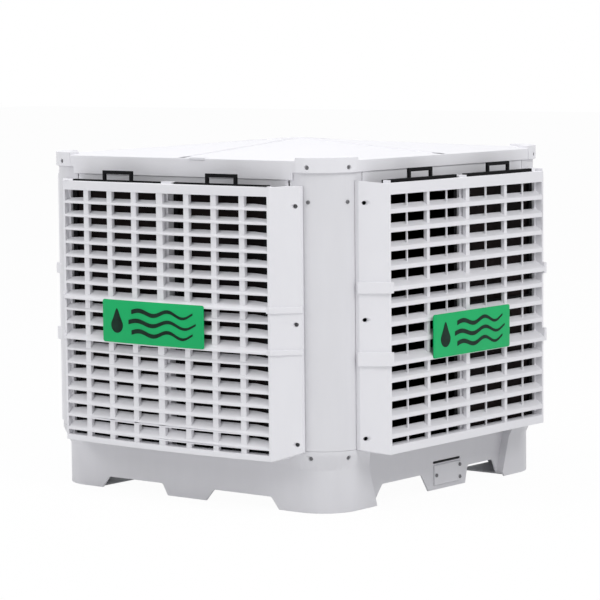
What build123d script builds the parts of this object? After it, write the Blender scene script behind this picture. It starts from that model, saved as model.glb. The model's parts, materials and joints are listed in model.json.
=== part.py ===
"""Evaporative cooler: a square cabinet on a sump base, with a louvred intake on each side.

Millimetres, +Z up. The origin is the centre of the footprint, on the surface the feet stand on.
The front faces -Y and the right side faces +X. Pieces that repeat round the cabinet are built on
the front and turned about Z. "Depth" means the distance outward from the centre, along -Y there.
"""
from build123d import *
import math
import os

# Fits and clearances
seat = 0.3                # between pieces that sit against each other with a curved face
running = 0.05            # radial clearance of a shaft or pin in its bearing
slide_gap = 3.0           # either side of a lift-out filter

# Top cover
cover_half = 480.0
cover_radius = 108.0
cover_wall = 4.0
lip_z = 836.0             # lower edge at the corners and on the left and right sides
skirt_drop = 18.0         # how much lower the front and back skirts hang
fascia_height = 29.0
roof_rise = 32.5
roof_crown_half = 26.0
roof_rib_half = 9.0
roof_rib_height = 2.5
cap_proud = 3.0           # corner caps outside the fascia
cap_rise = 8.0            # and above it
tab_middle = 60.0         # raised tab on the front and back fascias
tab_half = 25.0
tab_rise = 3.0
apron_drop = 46.0         # inner apron below the lip, behind the filters' handles
apron_thickness = 3.0
apron_gap = 2.0           # from the posts' edges
apron_lap = 0.2           # let into the cover's wall
apron_join = 6.0

# Base with its sump
base_height = 156.0
base_inset = 19.0         # skirt face behind the cover face
base_radius = 100.0
base_wall = 5.0
rim_thickness = 10.0
flare_height = 42.0
floor_z = 60.0
floor_thickness = 6.0
sole_thickness = 5.0
sole_reach = 155.0
side_recess = 22.0
recess_half_low = 275.0
recess_half_high = 322.0
collar_wall = 6.0
ledge_width = 12.0
ledge_thickness = 6.0

notch_round = 10.0

# Notches in the skirt between the feet, as (low start, high start, high end, low end, height)
front_notches = [(-295.0, -270.0, -88.0, -70.0, 30.0), (58.0, 85.0, 270.0, 295.0, 30.0)]
side_notches = [(-265.0, -225.0, -59.0, -27.0, 46.0), (137.0, 148.0, 262.0, 286.0, 46.0)]

# Corner posts
post_wall = 4.0
post_flat = 22.0          # straight run beside the quarter round
post_overlap = 21.0       # how far a post stands up inside the cover
tongue_depth = 36.0       # how far a post reaches down inside the sump
corner_screw_angle = 17.0

# Louvre panels
panel_clear = 32.0        # from the post's round to the end of the louvre field
foot_gap = 0.7            # panel's feet off the posts
foot_thickness = 6.0
foot_run = 26.0
strip_wall = 6.0
stile_width = 7.0
shelf_thickness = 6.0
guide_half = 17.0
guide_rise = 5.0
panel_screw_heights = (0.06, 0.5, 0.93)      # shares of the panel's height

# Lift-out dust filters
filter_thickness = 12.0
filter_cover_gap = 34.0
filter_front_gap = 3.5    # filter's face behind the panel
filter_border = 14.0
filter_bar = 9.0
filter_bar_depth = 4.0
filter_bars = 3
mesh_thickness = 1.5
mesh_back = 3.0
handle_width = 100.0
handle_rise = 24.0
handle_bar = 9.0
handle_depth = 7.0

# Wet side
pad_thickness = 100.0
pad_wall_gap = 8.0
pad_corner_gap = 8.0      # between neighbouring pads at the corners
pad_top_drop = 46.0       # pad top below the cover's lip
tray_height = 25.0
tray_wall = 3.0
tray_inset = 4.0
tray_radius = 66.0
drip_holes = 12
drip_radius = 3.0
pipe_radius = 11.0
pipe_wall = 2.0
ring_radius = 50.0
spigot_length = 18.0
pump_shift = 6.0          # pump's axis inside the ring pipe's line
pump_radius = 41.0
pump_height = 52.0
strainer_wall = 2.5
strainer_height = 34.0
strainer_slots = 10
impeller_radius = 24.0

# Fan, motor and outlet
duct_wall = 4.0
duct_lip = 34.0
duct_foot_z = 42.0
duct_bolt_inset = 17.0
duct_bolt_radius = 5.0
shroud_inset = 32.0       # ring wall inside the square plate
shroud_wall = 4.0
shroud_height = 140.0
shroud_plate = 4.0
shroud_lip = 14.0
tip_gap = 6.0
hub_radius = 70.0
hub_height = 80.0
hub_lift = 28.0           # hub above the shroud's plate
blade_count = 5
blade_pitch = 31.0
blade_chord = 165.0
blade_thickness = 5.0
shaft_radius = 11.0
motor_radius = 78.0
motor_height = 165.0
motor_fins = 24
bracket_thickness = 8.0
bracket_arm = 26.0
bracket_disc = 92.0
motor_bolt_circle = 60.0

# Control box
box_size = 62.0
box_height = 130.0
box_wall = 3.0
lid_thickness = 6.0

# Name plates
plate_thickness = 3.0
plate_half = 168.0

# Screws
screw_radius = 2.1
screw_hole = 2.4
screw_head = 4.8
screw_head_height = 3.2
counterbore = 5.6

# Places worked out from the sizes above
round_centre = cover_half - cover_radius
post_half = cover_half - cover_wall - seat
post_radius = cover_radius - cover_wall - seat
base_half = cover_half - base_inset
sump_half = base_half - base_wall
sump_radius = base_radius - base_wall
base_centre = base_half - base_radius
sump_floor = floor_z + floor_thickness
low_lip_z = lip_z - skirt_drop
fascia_z = lip_z + fascia_height
roof_z = fascia_z + roof_rise
field_half = round_centre - panel_clear
stile_inner = field_half - stile_width
foot_depth = post_half + foot_gap
filter_inner = cover_half + filter_cover_gap
filter_outer = filter_inner + filter_thickness
panel_inner = filter_outer + filter_front_gap
guide_start = stile_inner - 8.0
pad_outer = sump_half - pad_wall_gap
pad_inner = pad_outer - pad_thickness
pad_half = pad_inner - pad_corner_gap
pad_top = lip_z - pad_top_drop
collar_outer = pad_inner - 4.0
collar_inner = collar_outer - collar_wall
pipe_line = (pad_inner + pad_outer) / 2
pipe_z = pad_top + tray_wall + seat + pipe_radius
riser_place = pipe_line - ring_radius * (1 - math.sqrt(0.5))
pump_place = pipe_line - pump_shift
shroud_z = base_height + shroud_plate
shroud_inner = collar_inner - shroud_inset
shroud_top = shroud_z + shroud_height
blade_reach = shroud_inner - tip_gap
hub_z = shroud_z + hub_lift
bracket_top = shroud_top + bracket_thickness

SIDES = {"front": 0, "right": 90, "back": 180, "left": 270}
CORNERS = {"front_right": 0, "back_right": 90, "back_left": 180, "front_left": 270}

# The two louvre designs. Heights are of the outer edges. "depth" is a slat's, and "lean" is how
# much it rises inward over that.
# "foot" is how far the side strips pass the start of the post's round, and the rises are those of
# the strips' lower and upper edges on their way back to the post.
FINE = {
    "face": panel_inner + 14.5, "crown": panel_inner + 32.5, "depth": 20.0,
    "bottom": base_height - 22.0, "sill": base_height - 8.0, "rail_top": lip_z - 33.0,
    "first": lip_z - 56.0, "last": base_height + 4.3, "rows": 19,
    "slat": 5.5, "lean": (10.5, 21.0), "last_lean": 3.0,
    "columns": 8, "rib": 17.0, "centre_rib": 21.0, "rib_depth": 14.0, "rib_setback": 3.5, "bar": 0.0,
    "bands": ((base_height + 341.0, base_height + 356.0), (base_height + 239.0, base_height + 251.0)),
    "proud": 6.0, "plate": (-20.0, base_height + 244.0, base_height + 352.0), "filter_rise": 4.0,
    "foot": 20.0, "low_rise": 20.0, "high_rise": 2.0,
}
COARSE = {
    "face": panel_inner + 20.5, "crown": panel_inner + 20.5, "depth": 20.5,
    "bottom": base_height - 12.0, "sill": base_height + 9.5, "rail_top": lip_z - 28.0,
    "first": lip_z - 55.6, "last": base_height + 26.5, "rows": 14,
    "slat": 11.0, "lean": (11.5, 13.5), "last_lean": 3.0,
    "columns": 4, "rib": 12.0, "centre_rib": 16.0, "rib_depth": 15.0, "rib_setback": 5.0, "bar": 4.0,
    "bands": ((base_height + 385.0, base_height + 413.0), (base_height + 207.0, base_height + 241.0)),
    "proud": 8.0, "plate": (-4.0, base_height + 209.0, base_height + 318.0), "filter_rise": 8.0,
    "foot": 9.0, "low_rise": 12.0, "high_rise": 8.0,
}
STYLE = {"front": FINE, "right": COARSE, "back": FINE, "left": COARSE}
bar_setback = 8.0
bar_depth = 4.0
opening_reach = 22.0      # how far the openings' cutters pass the slats, in front and behind


# Small helpers

def block(x0, x1, y0, y1, z0, z1):
    return Pos((x0 + x1) / 2, (y0 + y1) / 2, (z0 + z1) / 2) * Box(x1 - x0, y1 - y0, z1 - z0)


def fore(x0, x1, d0, d1, z0, z1):
    """A block on the front, between two depths."""
    return block(x0, x1, -d1, -d0, z0, z1)


def disc(radius, z0, z1, x=0.0, y=0.0):
    return Pos(x, y, (z0 + z1) / 2) * Cylinder(radius, z1 - z0)


def ring(outer, inner, z0, z1, x=0.0, y=0.0):
    return disc(outer, z0, z1, x, y) - disc(inner, z0 - 1, z1 + 1, x, y)


def rounded(half, radius, z0, z1):
    return Pos(0, 0, z0) * extrude(RectangleRounded(2 * half, 2 * half, radius), amount=z1 - z0)


def square(half, z0, z1):
    return block(-half, half, -half, half, z0, z1)


def upright(points, z0, z1):
    """A prism on a plan outline of (x, depth) points, standing on the front."""
    outline = make_face(Polyline([(x, -d) for x, d in points], close=True))
    return Pos(0, 0, z0) * extrude(outline, amount=z1 - z0, dir=(0, 0, 1))


def crosswise(points, x0, x1):
    """A prism along X on an outline of (depth, z) points, on the front."""
    outline = make_face(Polyline([(x0, -d, z) for d, z in points], close=True))
    return extrude(outline, amount=x1 - x0, dir=(1, 0, 0))


def turned(shape, angle):
    return Rot(0, 0, angle) * shape


def mirrored(shape):
    return shape + mirror(shape, about=Plane.YZ)


def pin_along(place, way, radius, start, end):
    """A cylinder on the line through place along way, between two distances from place."""
    axis = Plane(origin=place, z_dir=way)
    return axis * Pos(0, 0, (start + end) / 2) * Cylinder(radius, end - start)


def screw(place, way, length):
    """A pan-head screw. Place is under the head, and way points out of the head."""
    return (pin_along(place, way, screw_head, 0, screw_head_height)
            + pin_along(place, way, screw_radius, -length, 1))


def group(pieces):
    return Compound(children=list(pieces))


# Corner screws: two per corner, square to the quarter round, at each of three heights

cover_screw_z = lip_z + 13.0
post_screw_z = lip_z - 71.0
base_screw_z = base_height - 18.0
base_spot = post_radius - 6.7
tongue_inner = sump_radius - seat - post_wall


def corner_line(angle):
    """Centre of the front right corner's round, and the way outward at an angle from -Y."""
    turn = math.radians(angle)
    return (round_centre, -round_centre), (math.sin(turn), -math.cos(turn), 0)


def corner_seats():
    """Place under the head and way out for the six screws of the front right corner."""
    seats = []
    for angle in (corner_screw_angle, 90 - corner_screw_angle):
        (x, y), way = corner_line(angle)
        rises = ((cover_screw_z, cover_radius - 2), (post_screw_z, post_radius), (base_screw_z, base_spot))
        for z, reach in rises:
            seats.append(((x + way[0] * reach, y + way[1] * reach, z), way))
    return seats


def corner_holes(radius=screw_hole, depth=26.0):
    return [pin_along(place, way, radius, -depth, 12) for place, way in corner_seats()]


def corner_spots():
    return [pin_along(place, way, counterbore, 0, 14) for place, way in corner_seats()]


def foot_half(style):
    return round_centre + style["foot"]


def panel_seats(style):
    """Places along the side and heights of the screws that hold a louvre panel to its posts."""
    height = style["rail_top"] - style["bottom"]
    x = foot_half(style) - 10.0
    return [(s * x, style["bottom"] + height * share) for share in panel_screw_heights for s in (-1, 1)]


# Base and sump

def notch_prisms():
    """Cutters for the gaps between the feet, on all four sides."""
    cutters = []
    for side, angle in SIDES.items():
        notches = front_notches if STYLE[side] is FINE else side_notches
        for low0, high0, high1, low1, height in notches:
            corners = [(low0, 0, -1), (high0, 0, height), (high1, 0, height), (low1, 0, -1)]
            outline = make_face(Polyline(corners, close=True))
            prism = extrude(outline, amount=base_wall + side_recess + 40, dir=(0, -1, 0))
            prism = fillet(prism.edges().filter_by(Axis.Y).group_by(Axis.Z)[-1], notch_round)
            cutters.append(turned(Pos(0, -(base_half - side_recess - base_wall - 12), 0) * prism, angle))
    return cutters


def recess_block(half_low, half_high, depth):
    """The volume outside a given depth between two slanted ends, turned to the right side."""
    top = base_height - rim_thickness
    outline = make_face(Polyline([(-half_low, 0, -1), (-half_high, 0, top), (half_high, 0, top), (half_low, 0, -1)],
                                 close=True))
    return turned(Pos(0, -depth, 0) * extrude(outline, amount=80, dir=(0, -1, 0)), 90)


def base_tray():
    flare_z = base_height - rim_thickness - flare_height
    low = Pos(0, 0, flare_z) * RectangleRounded(2 * base_half, 2 * base_half, base_radius)
    high_z = base_height - rim_thickness
    high = Pos(0, 0, high_z) * RectangleRounded(2 * post_half, 2 * post_half, post_radius)
    body = rounded(base_half, base_radius, 0, flare_z) + loft([low, high])
    body += rounded(post_half, post_radius, high_z, base_height)
    cavity = rounded(sump_half, sump_radius, -1, base_height + 1)
    face = base_half - side_recess
    for angle in (0, 180):
        body -= turned(recess_block(recess_half_low, recess_half_high, face), angle)
        cavity -= turned(recess_block(recess_half_low + base_wall, recess_half_high + base_wall,
                                      face - base_wall), angle)
    floor = square(base_half + 20, floor_z, sump_floor)
    body -= cavity - floor
    body += square(collar_outer, floor_z, base_height)
    body -= square(collar_inner, -1, base_height + 1)
    ledge_z = base_height - ledge_thickness
    body += square(collar_outer + ledge_width, ledge_z, base_height) - square(collar_outer - 1, 0, base_height + 1)
    for angle in SIDES.values():
        body += turned(fore(-pad_half, pad_half, pad_outer - ledge_width, sump_half + 1, ledge_z, base_height), angle)
    soles = rounded(base_half - 1, base_radius - 1, 0, sole_thickness)
    reach = base_half - sole_reach
    soles -= block(-reach, reach, -base_half, base_half, -1, base_height)
    soles -= block(-base_half, base_half, -reach, reach, -1, base_height)
    body += soles
    body -= disc(drain_access, -1, sole_thickness + 1, *drain_place)
    body -= notch_prisms()
    for angle in CORNERS.values():
        body -= [turned(cutter, angle) for cutter in corner_holes() + corner_spots()
                 if cutter.center().Z < base_height]
    body -= service_slot()
    body -= [pin_along(place, (1, 0, 0), screw_hole, -12, 2) for place in plate_screw_places()]
    body -= disc(drain_radius + seat, floor_z - 1, sump_floor + 1, *drain_place)
    body -= pin_along((inlet_x, sump_half, inlet_z), (0, 1, 0), inlet_neck + seat, -2, 40)
    return body


# Service cover on the right-hand middle foot, with a slot above it

service_centre = 54.0
service_half = 60.0
service_bottom = 12.0
service_top = 64.0
service_thickness = 4.0
service_screw_inset = 8.0
service_screw_rise = 16.0
slot_height = 6.0


def service_face():
    return base_half - side_recess


def service_slot():
    y0 = service_centre - service_half
    y1 = service_centre + service_half
    z0 = service_top + 4.0
    return block(service_face() - base_wall - 1, service_face() + 1, y0, y1, z0, z0 + slot_height)


def plate_screw_places():
    """Under the heads of the screws of the service cover."""
    x = service_face() + service_thickness
    y0 = service_centre - service_half + service_screw_inset
    y1 = service_centre + service_half - service_screw_inset
    middle = (service_bottom + service_top) / 2
    return [(x, y0, middle), (x, y1, middle - service_screw_rise), (x, y1, middle + service_screw_rise)]


def inlet_cover_plate():
    plate = block(service_face(), service_face() + service_thickness, service_centre - service_half,
                  service_centre + service_half, service_bottom, service_top)
    return plate - [pin_along(place, (1, 0, 0), screw_hole, -12, 2) for place in plate_screw_places()]


# Corner posts

def corner_wall(half, radius, wall, flat, z0, z1):
    """A quarter-round wall with a straight run at each end, at the front right corner."""
    body = rounded(half, radius, z0, z1) - rounded(half - wall, radius - wall, z0 - 1, z1 + 1)
    start = half - radius - flat
    return body & block(start, half + 1, -half - 1, -start, z0, z1)


def corner_post(styles):
    """A post for the front right corner. Styles are those of the panels on its front and right."""
    flat = post_flat
    top = lip_z + post_overlap
    post = corner_wall(post_half, post_radius, post_wall, flat, base_height, top)
    ledge_wall = post_half - (sump_half - seat - post_wall)
    post += corner_wall(post_half, post_radius, ledge_wall, flat, base_height, base_height + post_wall)
    tongue_flat = flat - (round_centre - base_centre)
    post += corner_wall(sump_half - seat, sump_radius - seat, post_wall, tongue_flat,
                        base_height - tongue_depth, base_height + post_wall)
    post -= corner_holes()
    for style, angle in zip(styles, (SIDES["front"], SIDES["right"])):
        holes = [pin_along((x, -foot_depth, z), (0, -1, 0), screw_hole, -12, 2) for x, z in panel_seats(style)]
        post -= turned(group(holes), angle)
    return post


# Top cover

def roof(half, radius, base_z, crown_half, crown_z):
    low = Pos(0, 0, base_z) * RectangleRounded(2 * half, 2 * half, radius)
    high = Pos(0, 0, crown_z) * RectangleRounded(2 * crown_half, 2 * crown_half, crown_half / 2)
    return loft([low, high])


def top_cover():
    body = rounded(cover_half, cover_radius, lip_z, fascia_z)
    body += roof(cover_half - 3, cover_radius - 3, fascia_z, roof_crown_half, roof_z)
    ribs = roof(cover_half - 3, cover_radius - 3, fascia_z + roof_rib_height, roof_crown_half,
                roof_z + roof_rib_height)
    across = block(-cover_half, cover_half, -roof_rib_half, roof_rib_half, fascia_z, roof_z + 10)
    body += ribs & (across + turned(across, 90))
    for angle in CORNERS.values():
        cap = corner_wall(cover_half + cap_proud, cover_radius + cap_proud, cap_proud + cover_wall + 30, 0,
                          lip_z, fascia_z + cap_rise)
        body += turned(cap, angle)
    for angle in (0, 180):
        body += turned(fore(tab_middle - tab_half, tab_middle + tab_half, cover_half - 14, cover_half + 1,
                            fascia_z - 4, fascia_z + tab_rise), angle)
    inner = cover_half - cover_wall
    hollow = rounded(inner, cover_radius - cover_wall, lip_z - 1, fascia_z - cover_wall)
    hollow += roof(inner - 3, cover_radius - cover_wall - 3, fascia_z - cover_wall, roof_crown_half,
                   roof_z - cover_wall)
    body -= hollow
    for angle in (0, 180):
        skirt = fore(-round_centre + 10, round_centre - 10, inner, cover_half, low_lip_z, lip_z + 1)
        body += turned(skirt, angle)
    apron_half = post_half - post_radius - post_flat - apron_gap
    for angle in SIDES.values():
        apron = fore(-apron_half, apron_half, inner - apron_thickness, inner + apron_lap, lip_z - apron_drop,
                     lip_z + apron_join)
        body += turned(apron, angle)
    for angle in CORNERS.values():
        holes = [c for c in corner_holes() + corner_spots() if c.center().Z > lip_z]
        body -= [turned(cutter, angle) for cutter in holes]
    return body


# Louvre panels

def face_at(style, x):
    """Depth of the panel's face at a distance x from its middle."""
    sagitta = style["crown"] - style["face"]
    if sagitta == 0:
        return style["face"]
    radius = bow_radius(style)
    return style["crown"] - radius + math.sqrt(radius ** 2 - x ** 2)


def bow_radius(style):
    sagitta = style["crown"] - style["face"]
    return (field_half ** 2 + sagitta ** 2) / (2 * sagitta)


def faced(style, x0, x1, d0, z0, z1, proud=0.0):
    """A block from depth d0 out to the panel's face, which is bowed or flat."""
    if style["crown"] == style["face"]:
        return fore(x0, x1, d0, style["face"] + proud, z0, z1)
    radius = bow_radius(style)
    drum = Pos(0, -(style["crown"] - radius), (z0 + z1) / 2) * Cylinder(radius + proud, z1 - z0)
    return fore(x0, x1, d0, style["crown"] + proud + 1, z0, z1) & drum


def rib_edges(style):
    """X extents of the upright ribs between the columns of openings."""
    count = style["columns"]
    clear = 2 * stile_inner - (count - 2) * style["rib"] - style["centre_rib"]
    width = clear / count
    edges = []
    x = -stile_inner
    for column in range(count - 1):
        rib = style["centre_rib"] if column == count // 2 - 1 else style["rib"]
        edges.append((x + width, x + width + rib))
        x += width + rib
    return edges, width


def row_heights(style):
    """Top edge, height and inward rise of each row of openings."""
    rows = style["rows"]
    pitch = (style["first"] - style["last"]) / (rows - 1)
    heights = []
    for row in range(rows - 1):
        lean = style["lean"][0] + (style["lean"][1] - style["lean"][0]) * row / (rows - 2)
        heights.append((style["first"] - row * pitch, pitch - style["slat"], lean))
    heights.append((style["last"], style["last"] - style["sill"], style["last_lean"]))
    return heights


def rib_blocks(style):
    """The uprights that cross the openings, a little deeper than the slats' front edges."""
    z0, z1 = style["bottom"], style["rail_top"]
    edges, width = rib_edges(style)
    blocks = []
    for x0, x1 in edges:
        face = face_at(style, (x0 + x1) / 2)
        front = face - style["rib_setback"] if style["rib_setback"] else style["crown"] + 20
        blocks.append(fore(x0, x1, face - style["rib_depth"], front, z0, z1))
    if style["bar"]:
        starts = [-stile_inner] + [x1 for x0, x1 in edges]
        for start in starts:
            middle = start + width / 2
            outer = style["face"] - bar_setback
            blocks.append(fore(middle - style["bar"] / 2, middle + style["bar"] / 2, outer - bar_depth, outer, z0, z1))
    return blocks


def level_sweep(style, profile):
    """Carries a (depth, z) profile along the panel's face, straight or round its bow."""
    if style["crown"] == style["face"]:
        return crosswise(profile, -stile_inner, stile_inner)
    radius = bow_radius(style)
    axis = Axis((0, radius - style["crown"], 0), (0, 0, 1))
    half_turn = math.degrees(math.asin((stile_inner + 5) / radius))
    outline = make_face(Polyline([(0, -d, z) for d, z in profile], close=True)).rotate(axis, -half_turn)
    drum = revolve(outline, axis=axis, revolution_arc=2 * half_turn)
    heights = [z for d, z in profile]
    return drum & fore(-stile_inner, stile_inner, 0, style["crown"] + 100, min(heights) - 1, max(heights) + 1)


def louvre_openings(style):
    """One comb-shaped cutter per row: open behind, and split by the uprights in front."""
    ribs = rib_blocks(style)
    outer, inner = style["crown"] + opening_reach, style["crown"] - style["depth"] - opening_reach
    cutters = []
    for top, height, lean in row_heights(style):
        slope = lean / style["depth"]
        drop = slope * opening_reach
        rise = lean + drop
        prism = level_sweep(style, [(outer, top - height - drop), (outer, top - drop), (inner, top + rise),
                                    (inner, top - height + rise)])
        cutters.append(prism - ribs)
    return cutters


def strip_outline(style):
    """Plan of the right-hand side strip, from the stile round to the foot on the post."""
    face, foot = style["face"], foot_half(style)
    foot_top = foot_depth + foot_thickness
    knee = foot_top + foot_thickness - 0.5
    slope = (face - knee) / (foot - field_half)
    inset = strip_wall + 0.5
    return [(foot - foot_run, foot_depth), (foot, foot_depth), (foot, knee), (field_half, face),
            (stile_inner, face), (stile_inner, panel_inner), (field_half - 1, panel_inner),
            (field_half - 1, knee + slope * (foot - inset - field_half + 1)),
            (foot - inset, foot_top + 1), (foot - inset, foot_top), (foot - foot_run, foot_top)]


def strip_fill(style, proud=0.0):
    """Plan of the side strip as one filled shape, for its end plates and the raised bands."""
    face, foot = style["face"], foot_half(style)
    knee = foot_depth + 2 * foot_thickness - 0.5
    return [(field_half - 2, foot_depth), (foot, foot_depth), (foot + proud * 0.8, knee),
            (field_half + proud * 0.4, face + proud), (field_half - 2, face + proud)]


def sloped(style, low, high, rise):
    """A slab over the side strip, level at the face and rising by rise at the foot."""
    outline = make_face(Polyline([(field_half - 3, 0, low), (field_half, 0, low), (foot_half(style), 0, low + rise),
                                  (foot_half(style), 0, high + rise), (field_half, 0, high),
                                  (field_half - 3, 0, high)], close=True))
    return extrude(outline, amount=style["crown"] + 20, dir=(0, -1, 0))


def side_strip(style):
    """The right-hand strip with its end plates, and the ends of the raised bands."""
    z0, z1 = style["bottom"], style["rail_top"]
    walls = upright(strip_outline(style), z0, z1 + style["high_rise"])
    walls -= sloped(style, z0 - 40, z0, style["low_rise"])
    walls -= sloped(style, z1, z1 + 40, style["high_rise"])
    solid = upright(strip_fill(style), z0, z1 + style["high_rise"])
    strip = walls + (solid & sloped(style, z0, z0 + shelf_thickness, style["low_rise"]))
    strip += solid & sloped(style, z1 - shelf_thickness, z1, style["high_rise"])
    for low, high in style["bands"]:
        band = upright(strip_fill(style, style["proud"]), low, high)
        strip += band - upright(strip_fill(style), low - 1, high + 1)
    return strip


def louvre_panel(style):
    z0, z1 = style["bottom"], style["rail_top"]
    panel = faced(style, -field_half, field_half, panel_inner, z0, z1)
    for low, high in style["bands"]:
        panel += faced(style, -field_half, field_half, style["face"] - style["rib_depth"], low, high, style["proud"])
    panel -= faced(style, -stile_inner, stile_inner, panel_inner - 1, z0 + shelf_thickness, z1 - shelf_thickness,
                   -style["depth"])
    panel -= louvre_openings(style)
    strips = side_strip(style) + fore(guide_start, stile_inner + 1, filter_inner, panel_inner + 1, z0, z1)
    panel += mirrored(strips)
    panel += fore(-field_half, field_half, foot_depth, panel_inner + 1, z0, z0 + shelf_thickness)
    slat_back = style["crown"] - style["depth"]
    panel += fore(-guide_half, guide_half, filter_inner, slat_back + 1, z0, z1)
    panel += fore(-guide_half, guide_half, filter_inner, panel_inner + 1, z1 - 1, z1 + guide_rise)
    for x, z in panel_seats(style):
        place = (x, -(foot_depth + foot_thickness), z)
        panel -= pin_along(place, (0, -1, 0), counterbore, 0, 40)
        panel -= pin_along(place, (0, -1, 0), screw_hole, -10, 1)
    return panel


def name_plate(style):
    middle, low, high = style["plate"]
    x0, x1 = middle - plate_half, middle + plate_half
    outer = faced(style, x0, x1, style["face"] - 20, low, high, style["proud"] + seat + plate_thickness)
    return outer - faced(style, x0 - 1, x1 + 1, style["face"] - 21, low - 1, high + 1, style["proud"] + seat)


# Dust filters

def filter_extent(style):
    """Inner and outer edge, bottom and top of one filter on the right half of a side."""
    return (guide_half + slide_gap, guide_start - slide_gap, style["bottom"] + shelf_thickness + seat,
            style["rail_top"] + style["filter_rise"])


def dust_filter_frame(style):
    x0, x1, z0, z1 = filter_extent(style)
    border = filter_border
    frame = fore(x0, x1, filter_inner, filter_outer, z0, z1)
    frame -= fore(x0 + border, x1 - border, filter_inner - 1, filter_outer + 1, z0 + border, z1 - border)
    for bar in range(1, filter_bars + 1):
        z = z0 + (z1 - z0) * bar / (filter_bars + 1)
        frame += fore(x0 + border - 1, x1 - border + 1, filter_outer - filter_bar_depth, filter_outer,
                      z - filter_bar / 2, z + filter_bar / 2)
    middle = (x0 + x1) / 2
    half = handle_width / 2
    depth = (filter_inner + filter_outer) / 2
    outer = fore(middle - half, middle + half, depth - handle_depth / 2, depth + handle_depth / 2,
                 z1 - 1, z1 + handle_rise)
    finger = fore(middle - half + handle_bar, middle + half - handle_bar, filter_inner - 1, filter_outer + 1,
                  z1, z1 + handle_rise - handle_bar)
    return frame + (outer - finger)


def dust_filter_mesh(style):
    x0, x1, z0, z1 = filter_extent(style)
    border = filter_border
    start = filter_inner + mesh_back
    return fore(x0 + border, x1 - border, start, start + mesh_thickness, z0 + border, z1 - border)


# Wet side

def cooling_pad():
    return fore(-pad_half, pad_half, pad_inner, pad_outer, base_height, pad_top)


def distributor_tray():
    outer = pad_outer - tray_inset
    inner = pad_inner + tray_inset
    z1 = pad_top + tray_height
    tray = rounded(outer, tray_radius, pad_top, z1) - square(inner, pad_top - 1, z1 + 1)
    channel = rounded(outer - tray_wall, tray_radius - tray_wall, pad_top + tray_wall, z1 + 1)
    tray -= channel - square(inner + tray_wall, pad_top, z1 + 1)
    holes = []
    for angle in SIDES.values():
        for hole in range(drip_holes):
            x = pad_half * (2 * (hole + 0.5) / drip_holes - 1)
            for depth in (pipe_line - 26, pipe_line + 26):
                holes.append(turned(disc(drip_radius, pad_top - 1, pad_top + tray_wall + 1, x, -depth), angle))
    holes.append(disc(pipe_radius + seat, pad_top - 1, pad_top + tray_wall + 1, riser_place, riser_place))
    return tray - holes


def water_ring_pipe():
    """Square ring of pipe in the tray, with a spigot down to the riser."""
    start = Plane(origin=(0, -pipe_line, pipe_z), z_dir=(1, 0, 0))
    corner = pipe_line - ring_radius
    runs = []
    for angle in SIDES.values():
        straight = start * Pos(0, 0, -corner) * extrude(Circle(pipe_radius), amount=2 * corner)
        bend = revolve(Plane(origin=(corner, -pipe_line, pipe_z), z_dir=(1, 0, 0)) * Circle(pipe_radius),
                       axis=Axis((corner, -corner, 0), (0, 0, 1)), revolution_arc=90)
        runs += [turned(straight, angle), turned(bend, angle)]
    pipe = runs[0]
    for run in runs[1:]:
        pipe += run
    spigot_end = pipe_z - pipe_radius - spigot_length
    pipe += disc(pipe_radius - pipe_wall - seat, spigot_end, pipe_z, riser_place, riser_place)
    return pipe


def riser_pipe():
    top = pad_top + tray_wall - 1
    bottom = sump_floor + pump_height + 16.0
    return ring(pipe_radius, pipe_radius - pipe_wall, bottom, top, riser_place, riser_place)


def pump_body():
    z0 = sump_floor + 14.0
    top = sump_floor + pump_height + 14.0
    body = disc(pump_radius, z0, top, pump_place, pump_place)
    body += disc(pump_radius - 9, top - 1, top + 2, pump_place, pump_place)
    body += disc(pipe_radius - pipe_wall - seat, top, top + 22, riser_place, riser_place)
    return body - disc(3 + running, z0 - 1, z0 + 30, pump_place, pump_place)


def pump_strainer():
    outer = pump_radius + seat + strainer_wall
    cup = ring(outer, outer - strainer_wall, sump_floor, sump_floor + strainer_height, pump_place, pump_place)
    cup += disc(outer, sump_floor, sump_floor + 2, pump_place, pump_place)
    for slot in range(strainer_slots):
        window = block(outer - 6, outer + 4, -5, 5, 3 + sump_floor, sump_floor + 11)
        cup -= Pos(pump_place, pump_place, 0) * Rot(0, 0, 360 * slot / strainer_slots) * window
    return cup


def pump_impeller():
    z0 = sump_floor + 4.0
    wheel = disc(impeller_radius, z0, z0 + 2.5, pump_place, pump_place)
    wheel += disc(3, z0, z0 + 36, pump_place, pump_place)
    for vane in range(6):
        blade = block(2, impeller_radius - 1, -1, 1, z0 + 2, z0 + 9)
        wheel += Pos(pump_place, pump_place, 0) * Rot(0, 0, 60 * vane) * blade
    return wheel


# Float valve on the back wall of the sump, fed through the skirt

inlet_x = -300.0
valve_shift = 2.0
inlet_z = 116.0
inlet_radius = 10.5
inlet_bore = 6.0
inlet_neck = 11.5
neck_length = 14.0
inlet_length = 22.0
valve_half = 12.0
valve_y = pipe_line + valve_shift
lug_length = 16.0
pivot_drop = 18.0
pin_radius = 2.0
arm_radius = 2.5
arm_length = 84.0
ball_radius = 27.0
inlet_y = sump_half - seat
pivot = (inlet_x + valve_half + lug_length - 8.0, valve_y, inlet_z - pivot_drop)


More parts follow.
